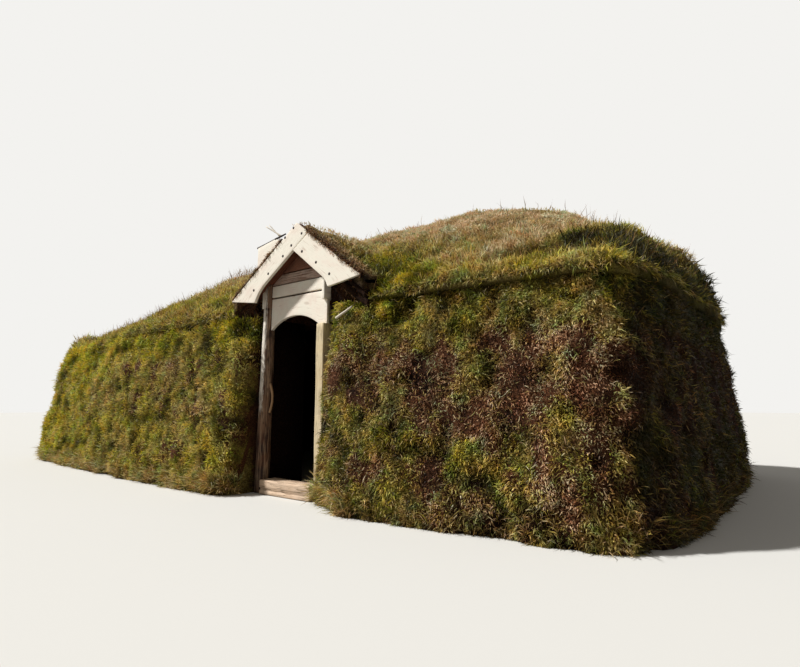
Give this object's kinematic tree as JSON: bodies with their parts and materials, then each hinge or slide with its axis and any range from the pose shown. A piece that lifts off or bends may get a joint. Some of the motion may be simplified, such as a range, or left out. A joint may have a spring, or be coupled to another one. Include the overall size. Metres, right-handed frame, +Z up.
{
  "type": "turf house",
  "caption": "Turf-walled hall house with a domed grass-grown turf roof and a gabled timber porch over an arched doorway.",
  "frame": {"origin": "on the ground under the middle of the footprint", "axes": "+X along the house to the right as one faces the doorway, -Y out of the front, +Z up"},
  "size_m": [10.9, 6.3, 3.5903],
  "materials": {
    "wall_turf": "rough turf and grass",
    "roof_turf": "dry grass over turf",
    "porch_turf": "dark fibrous turf",
    "pale_board": "pale bare softwood",
    "grey_wood": "weathered grey",
    "soffit_wood": "reddish brown, unpainted",
    "grip_wood": "worn",
    "frame_wood": "smoke-darkened"
  },
  "bodies": {
    "root": {"turf_wall_front_left": "wall_turf", "turf_wall_front_right": "wall_turf", "turf_wall_back": "wall_turf", "turf_wall_left_end": "wall_turf", "turf_wall_right_end": "wall_turf", "roof_turf_front_left": "roof_turf", "roof_turf_front_mid": "roof_turf", "roof_turf_front_right": "roof_turf", "roof_turf_back": "roof_turf", "roof_turf_left_end": "roof_turf", "roof_turf_right_end": "roof_turf", "porch_turf_left": "porch_turf", "porch_turf_right": "porch_turf", "porch_cheek_left": "porch_turf", "porch_cheek_right": "porch_turf", "porch_roof_board_left": "soffit_wood", "porch_roof_board_right": "soffit_wood", "porch_ridge_pole": "soffit_wood", "side_plate_left": "pale_board", "side_plate_right": "pale_board", "door_jamb_right": "pale_board", "arch_board": "pale_board", "bargeboard_left": "pale_board", "bargeboard_right": "pale_board", "turf_board": "pale_board", "door_post_left": "grey_wood", "threshold_log": "grey_wood", "gable_plank_low": "grey_wood", "gable_plank_mid": "grey_wood", "gable_plank_top": "grey_wood", "door_grip": "grip_wood", "roof_boards_front": "frame_wood", "roof_boards_back": "frame_wood", "rafters_front": "frame_wood", "rafters_back": "frame_wood", "purlins": "frame_wood", "ridge_beam": "frame_wood", "tie_beams": "frame_wood", "king_posts": "frame_wood", "room_posts": "frame_wood"}
  },
  "joints": []
}
